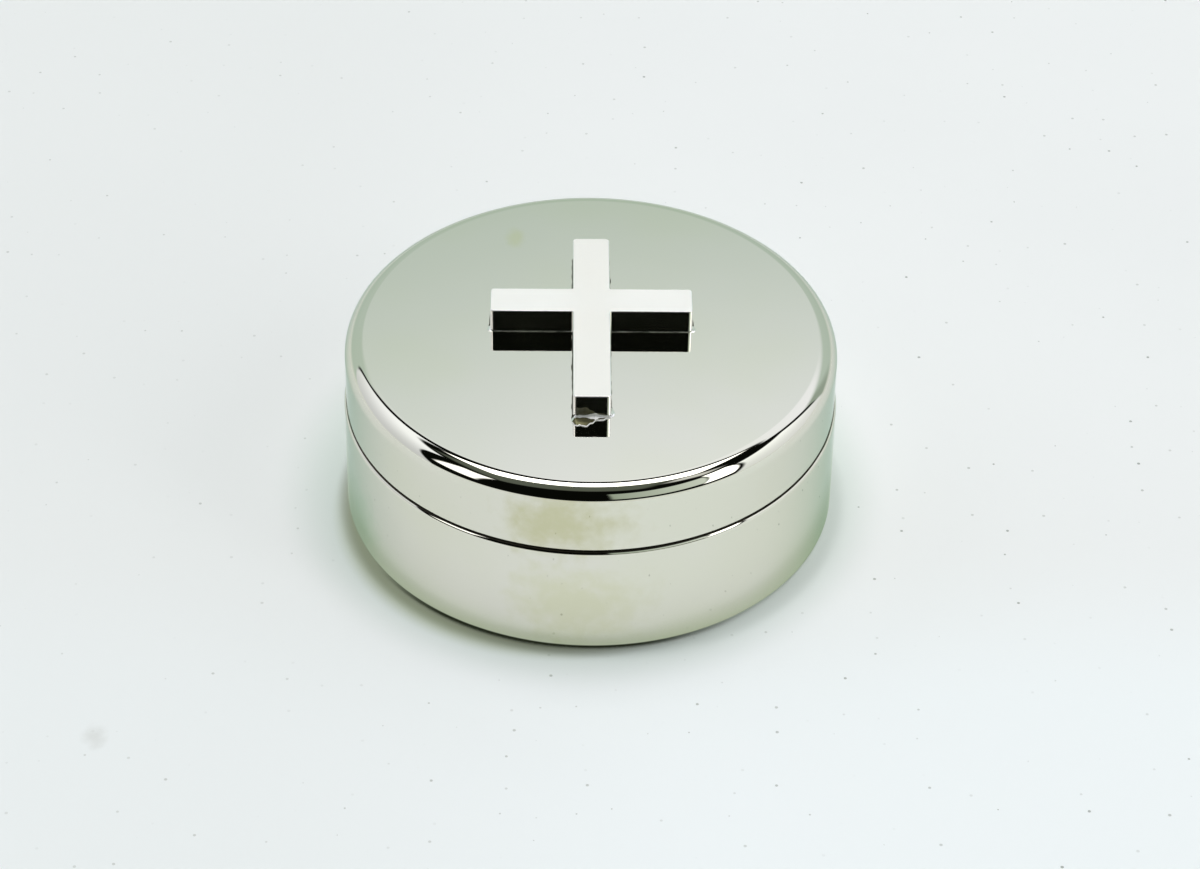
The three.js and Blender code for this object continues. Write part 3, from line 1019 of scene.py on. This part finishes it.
EDGE_NAMES = ["Left", "Left Lean", "Right", "Right Lean", "Bottom", "Top", "Softness"]
FULL_RISE = 50
share_of_rise = math_node(tree, "POWER", math_node(tree, "DIVIDE", elevation, FULL_RISE, clamp=True), 2.0)
for *edges, left_colour, right_colour, rise in CARDS.values():
    card = card_mask(azimuth, elevation, dict(zip(EDGE_NAMES, edges)))
    colour = blend_colour(tree, card.outputs["Across"], left_colour, right_colour)
    gain = math_node(tree, "MULTIPLY_ADD", share_of_rise, rise, 1.0)
    brighter = node(tree, "ShaderNodeVectorMath", {0: colour, "Scale": gain}, operation="SCALE")
    room = painted(room, card.outputs["Mask"], brighter.outputs[0])

# %% The ceiling: a dim part over the lens, a strip at the right and the light itself
CEILING_FROM, CEILING_AT = 40, 45
# left, right, near, far and softness, in shares of the ceiling's height, then the colour
CEILING = {
    "dim part": (-0.55, 0.3, -0.42, 0.3, 0.06, (0.11, 0.125, 0.10)),
    "strip at the right": (0.34, 0.6, -0.2, 0.02, 0.05, (0.75, 0.75, 0.75)),
    "light": (-0.32, 0.38, 0.09, 0.53, 0.03, (4.1, 4.05, 4.0)),
}


def between(value, low, high, softness):
    """1 between two values, with soft edges."""
    enter = smooth_range(tree, value, low - softness, low + softness)
    leave = smooth_range(tree, value, high - softness, high + softness, 1.0, 0.0)
    return math_node(tree, "MULTIPLY", enter, leave)


def ceiling_patch(left, right, near, far, softness):
    """A rectangle on the ceiling, in shares of the ceiling's height."""
    sides = between(ceiling_x, left, right, softness)
    ends = between(ceiling_y, near, far, softness)
    overhead = smooth_range(tree, elevation, CEILING_FROM, CEILING_AT)
    return math_node(tree, "MULTIPLY", math_node(tree, "MULTIPLY", sides, ends), overhead)


for *rectangle, colour in CEILING.values():
    room = painted(room, ceiling_patch(*rectangle), colour)

# %% The far table, and a plain backdrop for the camera
FAR_TABLE = (0.82, 0.85, 0.82)
ROOM_FILL = 0.7

turned_away = math_node(tree, "ABSOLUTE", azimuth)
horizon = smooth_range(tree, turned_away, 100, 160, 1, 7.5)
haze = smooth_range(tree, turned_away, 50, 90, 12, 3)
height_over = math_node(tree, "DIVIDE", math_node(tree, "SUBTRACT", elevation, horizon), haze)
room = painted(room, smooth_range(tree, height_over, 0, 1, 1.0, 0.0), FAR_TABLE)
path = node(tree, "ShaderNodeLightPath")
seen_room = painted(room, path.outputs["Is Camera Ray"], TABLE_COLOUR)
fill = math_node(tree, "MULTIPLY_ADD", path.outputs["Is Diffuse Ray"], ROOM_FILL - 1, 1.0)
background = node(tree, "ShaderNodeBackground", {"Color": seen_room, "Strength": fill})
node(tree, "ShaderNodeOutputWorld", {"Surface": background.outputs[0]})
bpy.context.scene.view_settings.view_transform = "Standard"
print("room painted with", len(CARDS), "cards and", len(CEILING), "patches of ceiling")


# %% [markdown]
# ## Two lamps
#
# The shadow in the photograph has a core and a soft rim, as two lamps of a few degrees make it. Both stand
# nearly overhead and a little behind. They could be patches of the painted room, but a small bright patch
# makes a grainy shadow. So they are sun lamps that mirrors don't see, since the mirrors already see the light
# overhead, and the room gives the table only 0.7 of its light to make way for theirs.

# %% Two small lamps nearly overhead
# where each one stands, in shares of its height, its strength and its width in degrees
LAMPS = {
    "key lamp": ((0.055, 0.085), 0.78, 4),
    "second lamp": ((-0.08, 0.10), 0.55, 5),
}

for name, (offset, strength, spread) in LAMPS.items():
    lamp_data = bpy.data.lights.new(name, "SUN")
    lamp_data.energy = strength
    lamp_data.angle = np.radians(spread)
    lamp = bpy.data.objects.new(name, lamp_data)
    lamp.rotation_mode = "QUATERNION"
    lamp.rotation_quaternion = Vector((*offset, 1)).to_track_quat("Z", "Y")
    lamp.visible_glossy = False
    bpy.context.scene.collection.objects.link(lamp)
print("lamps", list(LAMPS))


# %% [markdown]
# ## The size of the dressed box
#
# The dressed box must fill the same space as the imported model, and its size is printed here.

# %% Print the size
low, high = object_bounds()
print("size", [round(v / MM, 2) for v in high - low], "mm")
